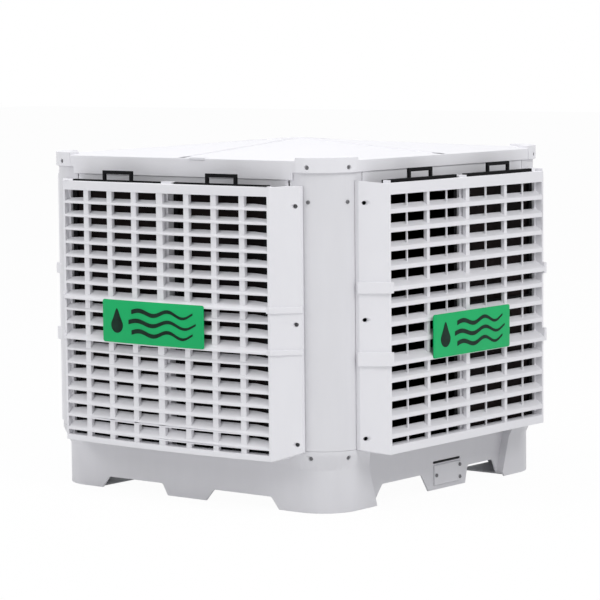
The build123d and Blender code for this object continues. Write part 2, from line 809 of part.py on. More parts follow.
def float_valve_body():
    body = block(inlet_x - valve_half, inlet_x + valve_half, valve_y - 15, inlet_y, inlet_z - valve_half,
                 inlet_z + valve_half)
    end = neck_length + inlet_length
    body += pin_along((inlet_x, inlet_y, inlet_z), (0, 1, 0), inlet_neck, -2, neck_length)
    body += pin_along((inlet_x, inlet_y, inlet_z), (0, 1, 0), inlet_radius, neck_length, end)
    for y in (valve_y - 11, valve_y + 8):
        body += block(inlet_x + valve_half - 4, pivot[0] + 5, y, y + 3, pivot[2] - 5, inlet_z)
    body += pin_along(pivot, (0, 1, 0), pin_radius, -9, 9)
    return body - pin_along((inlet_x, inlet_y, inlet_z), (0, 1, 0), inlet_bore, -20, end + 1)


def float_arm():
    hub = pin_along(pivot, (0, 1, 0), 5, -7.7, 7.7)
    arm = pin_along(pivot, (1, 0, 0), arm_radius, 3, arm_length)
    return hub + arm - pin_along(pivot, (0, 1, 0), pin_radius + running, -9, 9)


def float_ball():
    ball = Pos(pivot[0] + arm_length, pivot[1], pivot[2]) * Sphere(ball_radius)
    return ball - pin_along(pivot, (1, 0, 0), arm_radius + running, 3, arm_length + seat)


# Drain valve under the back left corner of the sump

drain_shift = 13.0        # drain's axis inside the ring pipe's line
drain_place = (drain_shift - pipe_line, pipe_line - drain_shift)
drain_radius = 13.0
drain_access = 34.0       # hole in the sole under the drain
drain_bore = 9.0
drain_foot = 16.0
drain_tail = 12.0
stem_z = 33.0
stem_radius = 4.0
lever_length = 27.0


def drain_valve_body():
    x, y = drain_place
    body = disc(drain_radius, drain_foot + drain_tail, sump_floor + 4, x, y)
    body += disc(drain_radius - 1, drain_foot, drain_foot + drain_tail + 1, x, y)
    body += disc(drain_radius + 9, sump_floor, sump_floor + 4, x, y)
    body += disc(drain_radius + 9, floor_z - 5, floor_z, x, y)
    body += pin_along((x, y, stem_z), (1, 0, 0), stem_radius, 0, drain_radius + 12)
    return body - disc(drain_bore, drain_foot - 1, sump_floor + 5, x, y)


def drain_lever():
    x, y = drain_place
    start = drain_radius + 2
    hub = pin_along((x, y, stem_z), (1, 0, 0), 8, start, start + 9)
    bar = block(x + start + 2, x + start + 7, y - lever_length, y, stem_z - 5, stem_z + 5)
    return hub + bar - pin_along((x, y, stem_z), (1, 0, 0), stem_radius + running, start - 1, start + 12)


# Fan, motor and outlet

def outlet_flange():
    outer = collar_inner - seat
    duct = square(outer, duct_foot_z, base_height)
    duct += square(outer + duct_lip, duct_foot_z, duct_foot_z + duct_wall)
    duct -= square(outer - duct_wall, duct_foot_z - 1, base_height + 1)
    bolt = outer + duct_lip - duct_bolt_inset
    holes = [disc(duct_bolt_radius, duct_foot_z - 1, duct_foot_z + duct_wall + 1, x, y)
             for x in (-bolt, bolt) for y in (-bolt, bolt)]
    return duct - holes


def fan_shroud():
    plate = square(collar_outer, base_height, shroud_z)
    body = plate + disc(shroud_inner + shroud_wall, shroud_z - 1, shroud_top)
    body += disc(shroud_inner + shroud_lip, shroud_top - shroud_wall, shroud_top)
    return body - disc(shroud_inner, base_height - 1, shroud_top + 1)


def motor_bolt_places():
    turn = [math.radians(45 + 90 * i) for i in range(4)]
    return [(motor_bolt_circle * math.cos(a), motor_bolt_circle * math.sin(a)) for a in turn]


def motor_bracket():
    body = disc(bracket_disc, shroud_top, bracket_top)
    reach = shroud_inner + shroud_lip
    for angle in (45, 135):
        body += turned(block(-reach, reach, -bracket_arm / 2, bracket_arm / 2, shroud_top, bracket_top), angle)
    body &= disc(reach, shroud_top, bracket_top)
    body -= disc(shaft_radius + 6, shroud_top - 1, bracket_top + 1)
    return body - [disc(4.3, shroud_top - 1, bracket_top + 1, x, y) for x, y in motor_bolt_places()]


def motor_housing():
    top = bracket_top + motor_height
    body = disc(motor_radius - 5, bracket_top, top)
    body += disc(motor_radius, bracket_top, bracket_top + 14) + disc(motor_radius, top - 30, top - 8)
    for fin in range(motor_fins):
        rib = block(motor_radius - 8, motor_radius, -1.5, 1.5, bracket_top + 10, top - 28)
        body += Rot(0, 0, 360 * fin / motor_fins) * rib
    body -= disc(shaft_radius + running, bracket_top - 1, top - 30)
    return body - [disc(4.3, bracket_top - 1, bracket_top + 13, x, y) for x, y in motor_bolt_places()]


def motor_bolts():
    return group(disc(4, shroud_top - 2, bracket_top + 12, x, y) + disc(8, shroud_top - 6, shroud_top, x, y)
                 for x, y in motor_bolt_places())


def motor_shaft():
    return disc(shaft_radius, hub_z + 8, bracket_top + motor_height - 34)


def fan_hub():
    hub = disc(hub_radius, hub_z, hub_z + hub_height)
    hub -= disc(hub_radius - 6, hub_z + 8, hub_z + hub_height + 1)
    hub += disc(shaft_radius + 12, hub_z, hub_z + hub_height - 6)
    return hub - disc(shaft_radius + running, hub_z + 8 - seat, hub_z + hub_height)


def fan_blades():
    """Identical blades, each fixed to the hub's rim."""
    middle = hub_z + hub_height / 2
    outline = make_face(Polyline([(hub_radius - 12, -blade_chord * 0.27), (blade_reach + 40, -blade_chord * 0.56),
                                  (blade_reach + 40, blade_chord * 0.44), (hub_radius - 12, blade_chord * 0.27)],
                                 close=True))
    blade = extrude(outline, amount=blade_thickness / 2, both=True)
    blade = Pos(0, 0, middle) * Rot(blade_pitch, 0, 0) * blade
    blade &= ring(blade_reach, hub_radius + 0.2, middle - 80, middle + 80)
    return group(Rot(0, 0, 360 * i / blade_count) * blade for i in range(blade_count))


# Control box on the corner of the fan's plate

box_x = -(collar_outer - 10 - box_size / 2)
box_y = collar_outer - 10 - box_size / 2


def control_box():
    half = box_size / 2
    z1 = shroud_z + box_height
    box = block(box_x - half, box_x + half, box_y - half, box_y + half, shroud_z, z1)
    inner = half - box_wall
    box -= block(box_x - inner, box_x + inner, box_y - inner, box_y + inner, shroud_z + box_wall, z1 + 1)
    return box - pin_along((box_x + half, box_y, shroud_z + 90), (1, 0, 0), 7, -6, 1)


def control_box_lid():
    half = box_size / 2 + 1
    z0 = shroud_z + box_height
    return block(box_x - half, box_x + half, box_y - half, box_y + half, z0, z0 + lid_thickness)


def cable_gland():
    place = (box_x + box_size / 2, box_y, shroud_z + 90)
    gland = pin_along(place, (1, 0, 0), 6.8, -5, 1)
    gland += Plane(origin=place, z_dir=(1, 0, 0)) * extrude(RegularPolygon(11, 6), amount=7)
    gland += pin_along(place, (1, 0, 0), 8.5, 6, 16)
    return gland - pin_along(place, (1, 0, 0), 4, -6, 17)


# Screws

def corner_screws():
    length = {cover_screw_z: 8.0, post_screw_z: 6.0, base_screw_z: 23.0}
    return group(turned(screw(place, way, length[place[2]]), angle)
                 for angle in CORNERS.values() for place, way in corner_seats())


def panel_screws():
    pieces = []
    for side, angle in SIDES.items():
        for x, z in panel_seats(STYLE[side]):
            pieces.append(turned(screw((x, -(foot_depth + foot_thickness), z), (0, -1, 0), 11), angle))
    return group(pieces)


def plate_screws():
    return group(screw(place, (1, 0, 0), 8) for place in plate_screw_places())


# All the nodes

def nodes():
    made = {
        "base_tray": base_tray(), "top_cover": top_cover(), "distributor_tray": distributor_tray(),
        "water_ring_pipe": water_ring_pipe(), "riser_pipe": riser_pipe(), "pump_body": pump_body(),
        "pump_strainer": pump_strainer(), "pump_impeller": pump_impeller(),
        "float_valve_body": float_valve_body(), "float_arm": float_arm(), "float_ball": float_ball(),
        "drain_valve_body": drain_valve_body(), "drain_lever": drain_lever(),
        "inlet_cover_plate": inlet_cover_plate(), "outlet_flange": outlet_flange(), "fan_shroud": fan_shroud(),
        "motor_bracket": motor_bracket(), "motor_housing": motor_housing(), "motor_shaft": motor_shaft(),
        "motor_bolts": motor_bolts(), "fan_hub": fan_hub(), "fan_blades": fan_blades(),
        "control_box": control_box(), "control_box_lid": control_box_lid(), "cable_gland": cable_gland(),
        "corner_screws": corner_screws(), "panel_screws": panel_screws(), "plate_screws": plate_screws(),
    }
    posts = [corner_post((FINE, COARSE)), corner_post((COARSE, FINE))]
    for turn, (corner, angle) in enumerate(CORNERS.items()):
        made["corner_post_" + corner] = turned(posts[turn % 2], angle)
    pad = cooling_pad()
    panels = {id(style): louvre_panel(style) for style in (FINE, COARSE)}
    for side, angle in SIDES.items():
        style = STYLE[side]
        made["louvre_panel_" + side] = turned(panels[id(style)], angle)
        made["cooling_pad_" + side] = turned(pad, angle)
        made["name_plate_" + side] = turned(name_plate(style), angle)
        for kind, piece in (("frame", dust_filter_frame(style)), ("mesh", dust_filter_mesh(style))):
            name = "dust_filter_" + kind + "_" + side
            made[name + "_b"] = turned(piece, angle)
            made[name + "_a"] = turned(mirror(piece, about=Plane.YZ), angle)
    return made


os.makedirs("parts", exist_ok=True)
for name, shape in nodes().items():
    shape.label = name
    export_step(shape, "parts/" + name + ".step")
    print(name)
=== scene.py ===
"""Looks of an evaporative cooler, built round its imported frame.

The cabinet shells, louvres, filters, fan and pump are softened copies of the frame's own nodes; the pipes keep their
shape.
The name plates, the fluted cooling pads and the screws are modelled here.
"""

import json
import math

import bpy
from bpy.props import FloatProperty, FloatVectorProperty, PointerProperty
from bpy.types import Operator, Panel, PropertyGroup
from mathutils import Matrix, Vector

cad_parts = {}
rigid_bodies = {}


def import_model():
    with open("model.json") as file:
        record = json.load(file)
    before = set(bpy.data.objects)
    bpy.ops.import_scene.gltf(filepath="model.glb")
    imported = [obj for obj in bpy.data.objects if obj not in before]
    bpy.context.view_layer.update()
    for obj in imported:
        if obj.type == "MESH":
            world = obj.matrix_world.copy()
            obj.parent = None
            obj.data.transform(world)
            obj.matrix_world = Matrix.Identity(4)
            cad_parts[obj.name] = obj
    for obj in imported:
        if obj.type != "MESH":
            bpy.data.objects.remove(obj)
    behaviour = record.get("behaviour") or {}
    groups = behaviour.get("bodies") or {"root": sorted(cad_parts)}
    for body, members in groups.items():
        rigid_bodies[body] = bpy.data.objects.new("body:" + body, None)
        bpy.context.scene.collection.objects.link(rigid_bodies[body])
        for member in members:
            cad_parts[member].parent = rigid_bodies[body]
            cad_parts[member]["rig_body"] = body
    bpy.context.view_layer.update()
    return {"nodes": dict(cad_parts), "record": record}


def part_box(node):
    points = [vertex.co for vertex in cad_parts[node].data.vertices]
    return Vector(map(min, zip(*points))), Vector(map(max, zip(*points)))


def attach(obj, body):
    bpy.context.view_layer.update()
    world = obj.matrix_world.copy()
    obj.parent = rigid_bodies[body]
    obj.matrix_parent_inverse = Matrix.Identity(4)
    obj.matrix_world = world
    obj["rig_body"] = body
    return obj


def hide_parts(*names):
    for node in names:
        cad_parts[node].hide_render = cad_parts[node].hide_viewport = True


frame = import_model()

bl_info = {
    "name": "Evaporative cooler looks",
    "version": (1, 0, 0),
    "blender": (4, 5, 0),
    "location": "View3D > Sidebar > Cooler",
    "description": "Shells, louvres, filters, pads, plates and screws of an evaporative cooler",
    "category": "Object",
}

SIDES = {"front": 0.0, "right": 90.0, "back": 180.0, "left": 270.0}
CORNERS = ("front_right", "back_right", "back_left", "front_left")
NODE_SLOT = {part["node"]: part["material_slot"] for part in frame["record"]["subparts"]}


# Materials

class Wire:
    """An output socket that takes part in Python arithmetic by adding Math nodes."""

    def __init__(self, finish, socket):
        self.finish = finish
        self.socket = socket

    def maths(self, operation, first, second=0.0):
        return self.finish.add("ShaderNodeMath", {"operation": operation}, {0: first, 1: second})

    def __add__(self, other):
        return self.maths("ADD", self, other)

    def __radd__(self, other):
        return self.maths("ADD", other, self)

    def __sub__(self, other):
        return self.maths("SUBTRACT", self, other)

    def __rsub__(self, other):
        return self.maths("SUBTRACT", other, self)

    def __mul__(self, other):
        return self.maths("MULTIPLY", self, other)

    def __rmul__(self, other):
        return self.maths("MULTIPLY", other, self)

    def sine(self):
        return self.maths("SINE", self)

    def size(self):
        return self.maths("ABSOLUTE", self)

    def larger(self, other):
        return self.maths("MAXIMUM", self, other)


class Finish:
    """The nodes of one material, or of the world, under construction."""

    def __init__(self, name, world=False):
        self.holder = (bpy.data.worlds if world else bpy.data.materials).new(name)
        self.holder.use_nodes = True
        self.tree = self.holder.node_tree
        self.tree.nodes.clear()
        self.end = self.tree.nodes.new("ShaderNodeOutputWorld" if world else "ShaderNodeOutputMaterial")

    def add(self, kind, settings=None, inputs=None, output=0):
        """A node with its settings, then the values or links of its sockets."""
        node = self.tree.nodes.new(kind)
        for key, value in (settings or {}).items():
            setattr(node, key, value)
        for key, value in (inputs or {}).items():
            if isinstance(value, Wire):
                self.tree.links.new(value.socket, node.inputs[key])
            else:
                node.inputs[key].default_value = value
        return Wire(self, node.outputs[output])

    def place(self, stretch=(1.0, 1.0, 1.0)):
        """Object coordinates in metres, stretched along the axes."""
        spot = self.add("ShaderNodeTexCoord", output="Object")
        return self.add("ShaderNodeMapping", None, {"Vector": spot, "Scale": stretch})

    def along(self, axis):
        """Distance in metres along X, Y or Z."""
        return self.add("ShaderNodeSeparateXYZ", None, {"Vector": self.place()}, output=axis)

    def noise(self, scale, detail=2.0, spot=None):
        return self.add("ShaderNodeTexNoise", None, {"Vector": spot or self.place(), "Scale": scale,
                                                     "Detail": detail, "Roughness": 0.55})

    def cells(self, scale, spot=None, output="Distance"):
        return self.add("ShaderNodeTexVoronoi", None, {"Vector": spot or self.place(), "Scale": scale}, output=output)

    def mix(self, first, second, mask):
        def colour(value):
            return value if isinstance(value, Wire) else (*value, 1.0)
        return self.add("ShaderNodeMix", {"data_type": "RGBA"}, {0: mask, 6: colour(first), 7: colour(second)},
                        output=2)

    def spread(self, mask, low, high):
        """Maps a mask from low to high, clamped."""
        return self.add("ShaderNodeMapRange", None, {"Value": mask, "From Min": low, "From Max": high})

    def bump(self, height, depth, strength=1.0):
        return self.add("ShaderNodeBump", None, {"Height": height, "Distance": depth, "Strength": strength})

    def seen(self):
        """1 for rays that show the floor or the sky themselves, straight, mirrored or through glass."""
        rays = [self.add("ShaderNodeLightPath", output=ray)
                for ray in ("Is Camera Ray", "Is Glossy Ray", "Is Transmission Ray")]
        return rays[0].larger(rays[1]).larger(rays[2])

    def shader(self, colour, rough, normal=None, metal=0.0, **fixed):
        inputs = {"Base Color": colour if isinstance(colour, Wire) else (*colour, 1.0), "Roughness": rough,
                  "Metallic": metal}
        if normal:
            inputs["Normal"] = normal
        inputs.update({key.replace("_", " "): value for key, value in fixed.items()})
        return self.add("ShaderNodeBsdfPrincipled", None, inputs)

    def closed(self, shader):
        """The holder, with the shader joined to its output."""
        self.tree.links.new(shader.socket, self.end.inputs["Surface"])
        return self.holder

    def surface(self, *look, **fixed):
        return self.closed(self.shader(*look, **fixed))


def tinted(colour, share):
    return tuple(min(1.0, part * share) for part in colour)


def moulded_plastic(name, colour, grain, rough=0.4, mottle=0.03, gloss=0.45):
    """Satin moulded plastic with a fine grain and a faint cloudiness from the mould."""
    finish = Finish(name)
    cloud = finish.noise(3.5, 4.0)
    flow = finish.noise(26.0, 3.0, finish.place((1.0, 1.0, 0.22)))
    mask = cloud * 0.6 + flow * 0.4
    tone = finish.mix(tinted(colour, 1 - mottle), tinted(colour, 1 + mottle), finish.spread(mask, 0.3, 0.7))
    pits = finish.noise(900.0, 2.0)
    dimples = finish.cells(620.0)
    waviness = finish.noise(14.0, 1.0)
    relief = finish.bump(waviness + (pits + dimples) * (0.2 * grain), 0.0012, 0.25)
    return finish.surface(tone, rough - 0.05 + flow * 0.12 + pits * 0.04, relief, Specular_IOR_Level=gloss)


def printed_green(name, colour):
    """Painted plate with faint orange peel."""
    finish = Finish(name)
    cloud = finish.noise(9.0, 3.0)
    tone = finish.mix(tinted(colour, 0.93), tinted(colour, 1.06), finish.spread(cloud, 0.3, 0.7))
    peel = finish.noise(420.0, 2.0)
    return finish.surface(tone, 0.36 + cloud * 0.12, finish.bump(peel, 0.0001, 0.5), Specular_IOR_Level=0.18)


def woven_screen(name):
    """Nylon screen: threads over and under, with dust lying in it."""
    finish = Finish(name)
    thread_pitch = 0.0028
    turns = 2 * math.pi / thread_pitch
    x, y, z = (finish.along(axis) for axis in range(3))
    across = ((x + y) * turns).sine().size()
    upright = (z * turns).sine().size()
    weave = across.larger(upright)
    dust = finish.noise(7.0, 5.0)
    dark = finish.mix((0.006, 0.004, 0.0045), (0.026, 0.017, 0.017), finish.spread(dust, 0.35, 0.75))
    tone = finish.mix((0.0015, 0.0012, 0.0014), dark, finish.spread(weave, 0.55, 0.9))
    return finish.surface(tone, 0.7 + dust * 0.15, finish.bump(weave, 0.0006, 0.7), Specular_IOR_Level=0.1)


def cellulose(name, colour):
    """Resin-treated paper in corrugated sheets, with random darker stains."""
    finish = Finish(name)
    fibre = finish.noise(160.0, 5.0, finish.place((1.0, 1.0, 0.15)))
    stain = finish.noise(5.0, 4.0)
    sheets = finish.cells(70.0, finish.place((1.0, 1.0, 0.08)))
    body = finish.mix(tinted(colour, 0.6), tinted(colour, 1.25), finish.spread(fibre, 0.3, 0.75))
    tone = finish.mix(body, tinted(colour, 0.45), finish.spread(stain, 0.5, 0.8))
    return finish.surface(tone, 0.82 + fibre * 0.1, finish.bump(fibre * 0.6 + sheets * 0.4, 0.0008, 0.8),
                          Specular_IOR_Level=0.2)


def zinc_sheet(name):
    """Hot-dip galvanised sheet with its spangle."""
    finish = Finish(name)
    spangle = finish.cells(60.0, output="Color")
    tone = finish.mix((0.44, 0.46, 0.48), (0.66, 0.68, 0.7), finish.add("ShaderNodeRGBToBW", None,
                                                                       {"Color": spangle}))
    haze = finish.noise(14.0, 4.0)
    edges = finish.cells(60.0)
    return finish.surface(tone, 0.34 + haze * 0.22, finish.bump(edges, 0.0002, 0.3), metal=0.85)


def turned_metal(name, colour, rough=0.3, scale=700.0):
    """Metal with fine machining lines and slight tarnish."""
    finish = Finish(name)
    lines = finish.noise(scale, 2.0, finish.place((0.1, 0.1, 1.0)))
    tarnish = finish.noise(38.0, 4.0)
    tone = finish.mix(tinted(colour, 0.72), colour, finish.spread(tarnish, 0.25, 0.6))
    return finish.surface(tone, rough - 0.06 + tarnish * 0.2, finish.bump(lines, 0.00006, 0.6), metal=1.0)


def sprayed_paint(name, colour, rough=0.45):
    """Satin sprayed paint with orange peel."""
    finish = Finish(name)
    peel = finish.noise(320.0, 2.0)
    cloud = finish.noise(11.0, 3.0)
    tone = finish.mix(tinted(colour, 0.85), tinted(colour, 1.12), finish.spread(cloud, 0.3, 0.7))
    return finish.surface(tone, rough - 0.05 + cloud * 0.14, finish.bump(peel, 0.00018, 0.6))


def sign_ink(name, colour):
    """Dark print, a little uneven."""
    finish = Finish(name)
    patchy = finish.noise(60.0, 4.0)
    tone = finish.mix(tinted(colour, 0.7), tinted(colour, 1.5), finish.spread(patchy, 0.3, 0.7))
    return finish.surface(tone, 0.42 + patchy * 0.15, finish.bump(patchy, 0.0001, 0.4), Specular_IOR_Level=0.1)


def studio_floor(name, colour, glow):
    """Pale floor: lit normally, and lifted to white where the camera or a reflection sees it."""
    finish = Finish(name)
    soft = finish.noise(0.6, 3.0)
    tone = finish.mix(tinted(colour, 0.985), colour, soft)
    lit = finish.shader(tone, 0.85 + soft * 0.1)
    white = finish.add("ShaderNodeEmission", None, {"Color": (1.0, 1.0, 1.0, 1.0), "Strength": 1.0})
    return finish.closed(finish.add("ShaderNodeMixShader", None, {0: finish.seen() * glow, 1: lit, 2: white}))


def studio_sky(name, strength):
    """Even light all round, and plain white where the camera or a reflection sees it."""
    finish = Finish(name, world=True)
    even = finish.add("ShaderNodeBackground", None, {"Color": (0.97, 0.98, 1.0, 1.0), "Strength": strength})
    white = finish.add("ShaderNodeBackground", None, {"Color": (1.0, 1.0, 1.0, 1.0), "Strength": 1.0})
    return finish.closed(finish.add("ShaderNodeMixShader", None, {0: finish.seen(), 1: even, 2: white}))


FINISHES = {}


def make_finishes(look):
    FINISHES.update({
        "white_plastic": moulded_plastic("white_plastic", look.shell_colour, look.grain, 0.42, 0.02),
        # shaded_post_plastic and shaded_base_plastic are the shell colour darkened to 0.9 and 0.87: painted shade on
        # the corner posts and the base
        "shaded_post_plastic": moulded_plastic("shaded_post_plastic", tinted(look.shell_colour, 0.9), look.grain, 0.44, 0.025),
        "shaded_base_plastic": moulded_plastic("shaded_base_plastic", tinted(look.shell_colour, 0.87), look.grain, 0.46, 0.03),
        "black_plastic": moulded_plastic("black_plastic", (0.006, 0.006, 0.007), look.grain, 0.5, 0.15, 0.06),
        "filter_mesh": woven_screen("filter_mesh"),
        "pad_cellulose": cellulose("pad_cellulose", look.pad_colour),
        "plate_green": printed_green("plate_green", look.plate_colour),
        "plate_ink": sign_ink("plate_ink", (0.006, 0.022, 0.014)),
        "pipe_pvc": moulded_plastic("pipe_pvc", (0.62, 0.64, 0.66), look.grain, 0.35, 0.04),
        "pump_plastic": moulded_plastic("pump_plastic", (0.03, 0.09, 0.22), look.grain, 0.42, 0.1),
        "float_plastic": moulded_plastic("float_plastic", (0.75, 0.3, 0.04), look.grain, 0.4, 0.08),
        "valve_brass": turned_metal("valve_brass", (0.78, 0.58, 0.26)),
        "lever_red": sprayed_paint("lever_red", (0.5, 0.03, 0.02), 0.35),
        "steel": turned_metal("steel", (0.2, 0.2, 0.21), 0.42),
        "coated_screw": sprayed_paint("coated_screw", (0.5, 0.5, 0.51), 0.4),
        "galvanised": zinc_sheet("galvanised"),
        "motor_grey": sprayed_paint("motor_grey", (0.09, 0.11, 0.13)),
        "fan_plastic": moulded_plastic("fan_plastic", (0.2, 0.21, 0.23), look.grain, 0.5, 0.1),
        "box_grey": moulded_plastic("box_grey", (0.38, 0.4, 0.43), look.grain, 0.48, 0.06),
    })


# Shared modelling steps

def clear_selection():
    if bpy.context.object and bpy.context.object.mode != "OBJECT":
        bpy.ops.object.mode_set(mode="OBJECT")
    bpy.ops.object.select_all(action="DESELECT")


def only(piece):
    """Selects the piece alone and makes it active."""
    clear_selection()
    piece.select_set(True)
    bpy.context.view_layer.objects.active = piece
    return piece


def added(name):
    """The primitive just added, renamed."""
    piece = bpy.context.object
    piece.name = name
    piece.data.name = name
    return piece


def edit(piece):
    """Opens the piece in edit mode with all of it selected."""
    only(piece)
    bpy.ops.object.mode_set(mode="EDIT")
    bpy.ops.mesh.select_all(action="SELECT")


def done():
    bpy.ops.object.mode_set(mode="OBJECT")


def apply_place(piece):
    """Puts the piece's place, turn and size into its mesh."""
    only(piece)
    bpy.ops.object.transform_apply(location=True, rotation=True, scale=True)


def round_edges(piece, width, steps=2, angle=30.0):
    only(piece)
    bevel = piece.modifiers.new("edges", "BEVEL")
    bevel.width = width
    bevel.segments = steps
    bevel.limit_method = "ANGLE"
    bevel.angle_limit = math.radians(angle)
    bevel.use_clamp_overlap = False
    bevel.miter_outer = "MITER_ARC"
    bpy.ops.object.modifier_apply(modifier=bevel.name)


def smooth(piece, angle=32.0):
    only(piece)
    bpy.ops.object.shade_smooth_by_angle(angle=math.radians(angle))


def paint(piece, finish):
    piece.data.materials.clear()
    piece.data.materials.append(FINISHES[finish])


def stand_for(piece, *nodes, finish=None):
    """The piece takes its nodes' place, body and material slot."""
    slot = NODE_SLOT[nodes[0]]
    paint(piece, finish or slot)
    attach(piece, frame["nodes"][nodes[0]]["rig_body"])
    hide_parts(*nodes)
    return piece


def even_shading(piece):
    """Lets the large flat faces decide how their rounded edges are shaded."""
    only(piece)
    weigh = piece.modifiers.new("shading", "WEIGHTED_NORMAL")
    weigh.keep_sharp = True
    weigh.weight = 80
    bpy.ops.object.modifier_apply(modifier=weigh.name)


def softened(node, width, steps=2, angle=30.0, join_from=0.0, finish=None):
    """A merged copy of a node with its edges rounded. Its flat faces are joined up, or only its slanting
    ones further out than join_from, a share of the piece's reach along its longer side."""
    clear_selection()
    source = frame["nodes"][node]
    piece = bpy.data.objects.new(node + "_soft", source.data.copy())
    bpy.context.scene.collection.objects.link(piece)
    only(piece)
    if piece.data.has_custom_normals:
        bpy.ops.mesh.customdata_custom_splitnormals_clear()
    edit(piece)
    bpy.ops.mesh.remove_doubles(threshold=0.00001)
    if join_from:
        bpy.ops.mesh.select_all(action="DESELECT")
        done()
        low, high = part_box(node)
        axis = 0 if high.x - low.x > high.y - low.y else 1
        limit = high[axis] * join_from
        for face in piece.data.polygons:
            places = [piece.data.vertices[i].co[axis] for i in face.vertices]
            outside = min(places) > limit or max(places) < -limit
            face.select = outside and 0.1 < abs(face.normal[axis]) < 0.99
        bpy.ops.object.mode_set(mode="EDIT")
    bpy.ops.mesh.dissolve_limited(angle_limit=math.radians(0.4))
    done()
    round_edges(piece, width, steps, angle)
    smooth(piece)
    even_shading(piece)
    return stand_for(piece, node, finish=finish)


def keep_nodes(*names):
    """Nodes whose shape is right as it is only get their finish."""
    for name in names:
        node = frame["nodes"][name]
        for slot in node.material_slots:
            slot.material = FINISHES[NODE_SLOT[name]]
        if not node.material_slots:
            node.data.materials.append(FINISHES[NODE_SLOT[name]])


def turned_copy(piece, name, degrees):
    """A copy of a finished front piece, turned about Z into its side."""
    copy = bpy.data.objects.new(name, piece.data.copy())
    copy.data.name = name
    bpy.context.scene.collection.objects.link(copy)
    copy.data.transform(Matrix.Rotation(math.radians(degrees), 4, "Z"))
    return copy


# Sizes and colours

class CoolerLook(PropertyGroup):
    """Sizes and colours of the cooler's looks."""
    shell_colour: FloatVectorProperty(name="Shell colour", description="Moulded cabinet plastic", subtype="COLOR",
                                      size=3, min=0.0, max=1.0, default=(0.78, 0.775, 0.805))
    plate_colour: FloatVectorProperty(name="Plate colour", description="Name plates", subtype="COLOR",
                                      size=3, min=0.0, max=1.0, default=(0.006, 0.42, 0.13))
    pad_colour: FloatVectorProperty(name="Pad colour", description="Cellulose pads", subtype="COLOR",
                                    size=3, min=0.0, max=1.0, default=(0.2, 0.11, 0.06))
    grain: FloatProperty(name="Grain", description="Depth of the moulded grain", default=0.35, min=0.0, max=1.0,
                         subtype="FACTOR")
    shell_edge: FloatProperty(name="Shell edge", description="Edge round of base, cover and posts",
                              default=0.0016, min=0.0002, max=0.004, unit="LENGTH")
    slat_edge: FloatProperty(name="Slat edge", description="Edge round of the louvres", default=0.0009,
                             min=0.0002, max=0.002, unit="LENGTH")
    flute_pitch: FloatProperty(name="Flute pitch", description="Spacing of the pad's flutes", default=0.0195,
                               min=0.008, max=0.04, unit="LENGTH")
    flute_depth: FloatProperty(name="Flute depth", description="How deep the flutes are at the pad's face",
                               default=0.006, min=0.001, max=0.01, unit="LENGTH")
    plate_corner: FloatProperty(name="Plate corner", description="Corner round of the name plates",
                                default=0.006, min=0.001, max=0.02, unit="LENGTH")
    ink_rise: FloatProperty(name="Ink rise", description="Height of the sign above its plate", default=0.0006,
                            min=0.0001, max=0.002, unit="LENGTH")


class StudioLook(PropertyGroup):
    """Floor, lamps and camera."""
    floor_colour: FloatVectorProperty(name="Floor colour", description="Studio floor", subtype="COLOR", size=3,
                                      min=0.0, max=1.0, default=(0.9, 0.9, 0.9))
    floor_glow: FloatProperty(name="Floor glow", description="How far the seen floor is lifted to white",
                              default=0.965, min=0.0, max=1.0, subtype="FACTOR")
    sky: FloatProperty(name="Sky", description="Strength of the even light", default=0.5, min=0.0, max=2.0)
    key_power: FloatProperty(name="Key power", description="Power of the key lamp, in watts", default=135.0,
                             min=0.0, max=2000.0)
    top_power: FloatProperty(name="Top power", description="Power of the lamp overhead, in watts", default=75.0,
                             min=0.0, max=2000.0)
    fill_power: FloatProperty(name="Fill power", description="Power of the fill lamp, in watts", default=95.0,
                              min=0.0, max=2000.0)
    lens: FloatProperty(name="Lens", description="Camera focal length in millimetres", default=161.43, min=20.0,
                        max=400.0)


class CoolerOperator(Operator):
    """Shared base of the cooler's operators."""
    bl_options = {"REGISTER", "UNDO"}

    def execute(self, context):
        self.build(context.scene.cooler_look)
        return {"FINISHED"}


class COOLER_OT_finishes(CoolerOperator):
    """Make the cooler's materials"""
    bl_idname = "cooler.finishes"
    bl_label = "Finishes"

    def build(self, look):
        make_finishes(look)


class COOLER_OT_shell(CoolerOperator):
    """Base, cover, corner posts and service cover with softened edges"""
    bl_idname = "cooler.shell"
    bl_label = "Shell"

    def build(self, look):
        softened("top_cover", look.shell_edge)
        # the base and service cover take the darkened base plastic: painted shade
        for node in ("base_tray", "inlet_cover_plate"):
            softened(node, look.shell_edge, finish="shaded_base_plastic")
        # the posts take the darkened post plastic: painted shade
        for corner in CORNERS:
            softened("corner_post_" + corner, look.shell_edge, finish="shaded_post_plastic")


class COOLER_OT_louvres(CoolerOperator):
    """Louvre panels of the four sides"""
    bl_idname = "cooler.louvres"
    bl_label = "Louvres"
    strip_start = 0.8

    def build(self, look):
        for side in SIDES:
            softened("louvre_panel_" + side, look.slat_edge, join_from=self.strip_start)


class COOLER_OT_filters(CoolerOperator):
    """Dust filter frames with their handles, and the screens in them"""
    bl_idname = "cooler.filters"
    bl_label = "Dust filters"

    def build(self, look):
        for side in SIDES:
            for half in "ab":
                softened("dust_filter_frame_" + side + "_" + half, look.slat_edge)
                keep_nodes("dust_filter_mesh_" + side + "_" + half)


def bow_radius(node, thickness):
    """Radius of a bowed plate on the front, from its box."""
    low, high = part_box(node)
    reach = max(abs(low.x), abs(high.x))
    sag = (high.y - low.y) - thickness
    return (reach ** 2 + sag ** 2) / (2 * sag) if sag > 0.0005 else 0.0


def lay_on(piece, radius, depth):
    """Bends a flat piece, modelled in X and Z about y = 0, back onto a bow at a depth."""
    for vertex in piece.data.vertices:
        sag = radius - math.sqrt(radius ** 2 - vertex.co.x ** 2) if radius else 0.0
        vertex.co.y += sag - depth
    piece.data.update()


